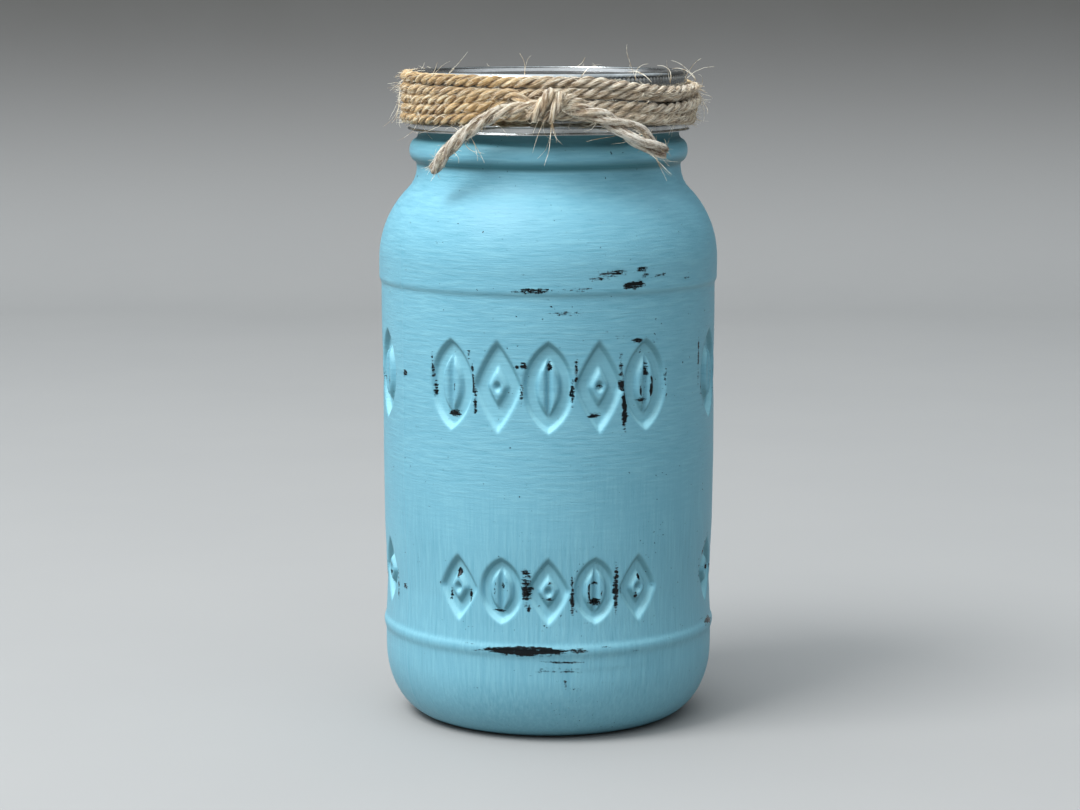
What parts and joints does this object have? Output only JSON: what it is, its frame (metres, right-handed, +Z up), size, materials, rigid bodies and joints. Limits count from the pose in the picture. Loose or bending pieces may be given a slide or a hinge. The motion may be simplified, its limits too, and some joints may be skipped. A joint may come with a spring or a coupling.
{
  "type": "mason jar lantern",
  "caption": "Painted embossed glass jar lantern with a two-piece screw lid, jute twine round its band and a battery tea light inside.",
  "frame": {"origin": "on the jar's axis in the plane that its base stands on", "axes": "+Z up along the jar's axis, -Y towards the front, where the twine is knotted, +X to the right seen from the front"},
  "size_m": [0.0894, 0.0894, 0.1713],
  "materials": {
    "painted_glass": "blue-green chalk paint over clear glass, worn on the relief",
    "tinplate": "satin tinplate",
    "gasket_rubber": "matte sealing compound",
    "band_steel": "tin-plated steel, dulled",
    "jute": "three-ply twisted jute with loose fibres",
    "white_plastic": "moulded ABS",
    "frosted_plastic": "translucent frosted",
    "screw_steel": "zinc-plated",
    "cell_steel": "polished can",
    "contact_brass": "spring brass",
    "board_green": "solder mask",
    "chip_resin": "cast resin",
    "led_epoxy": "clear epoxy lens",
    "lead_steel": "tinned wire",
    "switch_steel": "stamped case",
    "black_plastic": "moulded"
  },
  "bodies": {
    "jar": {"jar_glass": "painted_glass"},
    "lid": {"lid_disc": "tinplate", "lid_gasket": "gasket_rubber"},
    "band": {"screw_band": "band_steel", "twine_wrap": "jute", "twine_knot": "jute", "twine_tail_left": "jute", "twine_tail_right": "jute"},
    "tea_light": {"tealight_cup": "white_plastic", "tealight_flame": "frosted_plastic", "base_plate": "white_plastic", "base_screws": "screw_steel", "battery_door": "white_plastic", "door_screw": "screw_steel", "coin_cell": "cell_steel", "positive_contact": "contact_brass", "negative_contact": "contact_brass", "circuit_board": "board_green", "flicker_chip": "chip_resin", "led_lamp": "led_epoxy", "led_leads": "lead_steel", "switch_housing": "switch_steel", "switch_pins": "lead_steel"},
    "switch": {"switch_lever": "black_plastic"}
  },
  "joints": [
    {"name": "lid_rise", "type": "slide", "parent": "jar", "child": "lid", "axis": [0, 0, 1], "range_m": [0, 0.0204]},
    {"name": "band_turn", "type": "hinge", "parent": "lid", "child": "band", "pos_m": [0, 0, 0.1634], "axis": [0, 0, 1], "range_deg": [0, 1440]},
    {"name": "tealight_lift", "type": "slide", "parent": "jar", "child": "tea_light", "axis": [0, 0, 1], "range_m": [0, 0.12]},
    {"name": "switch_slide", "type": "slide", "parent": "tea_light", "child": "switch", "axis": [0, 1, 0], "range_m": [0, 0.002]}
  ],
  "couplings": [
    {"joint": "lid_rise", "follows": "band_turn", "m_per_rad": 0.00080851}
  ]
}
